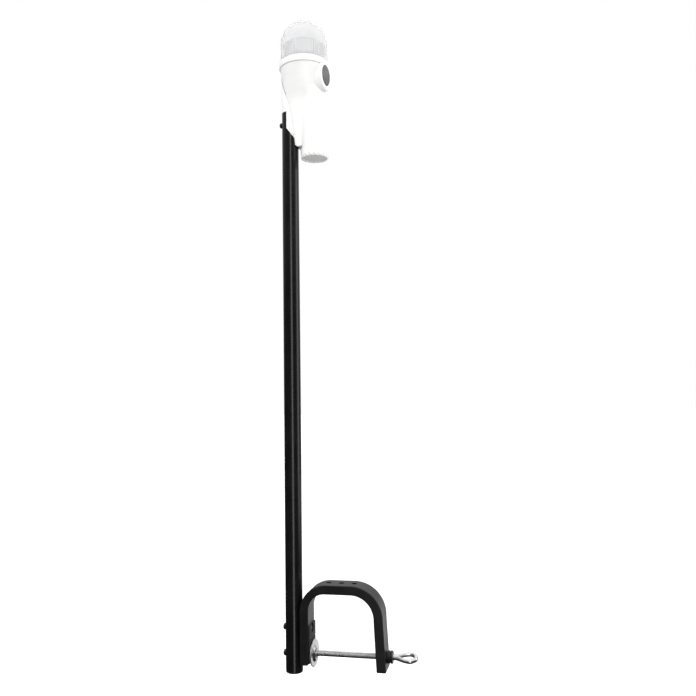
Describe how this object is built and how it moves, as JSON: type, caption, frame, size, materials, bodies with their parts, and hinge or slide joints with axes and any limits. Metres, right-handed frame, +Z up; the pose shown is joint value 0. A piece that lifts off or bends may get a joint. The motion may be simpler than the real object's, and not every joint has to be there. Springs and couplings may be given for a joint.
{
  "type": "portable stern navigation light",
  "caption": "Battery stern light: a white lamp head with a clear ribbed lens on a black pole, held by a C-clamp with an eye screw.",
  "frame": {"origin": "on the clamp's fixed jaw face, just above the groove across its pad; the boat's transom or gunwale touches this face", "axes": "+Z up along the pole to the lamp, +X from the pole across the jaw to the screw's eye, Y across the clamp"},
  "size_m": [0.1498, 0.0576, 0.7408],
  "materials": {
    "pole_finish": "gloss black anodised or painted aluminium tube",
    "clamp_finish": "black moulded clamp body, satin",
    "black_plastic": "black moulded plastic",
    "white_plastic": "white moulded plastic, semi-gloss",
    "clear_lens": "clear moulded lens plastic",
    "button_rubber": "dark grey soft rubber",
    "seal_rubber": "black seal rubber",
    "stainless": "bright stainless steel",
    "contact_metal": "nickel-plated contact metal",
    "circuit_board": "green circuit board",
    "lamp": "yellow LED phosphor",
    "cell_sleeve": "plain printed cell sleeve",
    "lead_red": "red wire insulation",
    "lead_black": "black wire insulation"
  },
  "bodies": {
    "root": {"pole_tube": "pole_finish", "pole_end_plug": "black_plastic", "clamp_frame": "clamp_finish", "clamp_face_pad": "seal_rubber", "pole_bolt_lower": "stainless", "pole_nut_lower": "stainless", "pole_bolt_upper": "stainless", "pole_nut_upper": "stainless", "thread_bushing": "black_plastic", "head_housing": "white_plastic", "mount_saddle": "white_plastic", "head_screw": "stainless", "button_bezel": "white_plastic", "tact_switch": "black_plastic", "switch_board": "circuit_board", "battery_carrier": "black_plastic", "battery_1": "cell_sleeve", "battery_2": "cell_sleeve", "battery_3": "cell_sleeve", "top_contact_spring": "contact_metal", "top_contact_plate": "contact_metal", "lens_collar": "white_plastic", "lens_gasket": "seal_rubber", "lens_dome": "clear_lens", "prism_ring": "clear_lens", "reflector_plate": "white_plastic", "led_board": "circuit_board", "led_emitter": "lamp", "light_optic": "clear_lens", "lead_positive": "lead_red", "lead_negative": "lead_black"},
    "clamp_carriage": {"pad_retainer": "stainless"},
    "clamp_screw": {"clamp_screw": "stainless"},
    "swivel_pad": {"swivel_pad": "stainless"},
    "button": {"button": "button_rubber"},
    "cap_seal": {"cap_oring": "seal_rubber"},
    "battery_cap": {"battery_cap": "white_plastic", "cap_contact_plate": "contact_metal"}
  },
  "joints": [
    {"name": "jaw_travel", "type": "slide", "parent": "root", "child": "clamp_carriage", "axis": [1, 0, 0], "range_m": [0, 0.06096]},
    {"name": "screw_turn", "type": "hinge", "parent": "clamp_carriage", "child": "clamp_screw", "pos_m": [0.03905, 0, -0.019], "axis": [1, 0, 0], "range_deg": [0, 17280]},
    {"name": "jaw_tilt", "type": "hinge", "parent": "clamp_carriage", "child": "swivel_pad", "pos_m": [0.00375, 0, -0.019], "axis": [0, 0, 1], "range_deg": [0, 9]},
    {"name": "button_press", "type": "slide", "parent": "root", "child": "button", "axis": [-0.9511, 0.309, 0], "range_m": [0, 0.0012], "stiffness_N_per_m": 350},
    {"name": "cap_travel", "type": "slide", "parent": "root", "child": "cap_seal", "axis": [0, 0, -1], "range_m": [0, 0.0075]},
    {"name": "cap_turn", "type": "hinge", "parent": "cap_seal", "child": "battery_cap", "pos_m": [0.00815, 0, 0.5417], "axis": [0, 0, -1], "range_deg": [0, 900]}
  ],
  "couplings": [
    {"joint": "jaw_travel", "follows": "screw_turn", "m_per_rad": 0.00020213},
    {"joint": "cap_travel", "follows": "cap_turn", "m_per_rad": 0.00047746}
  ]
}
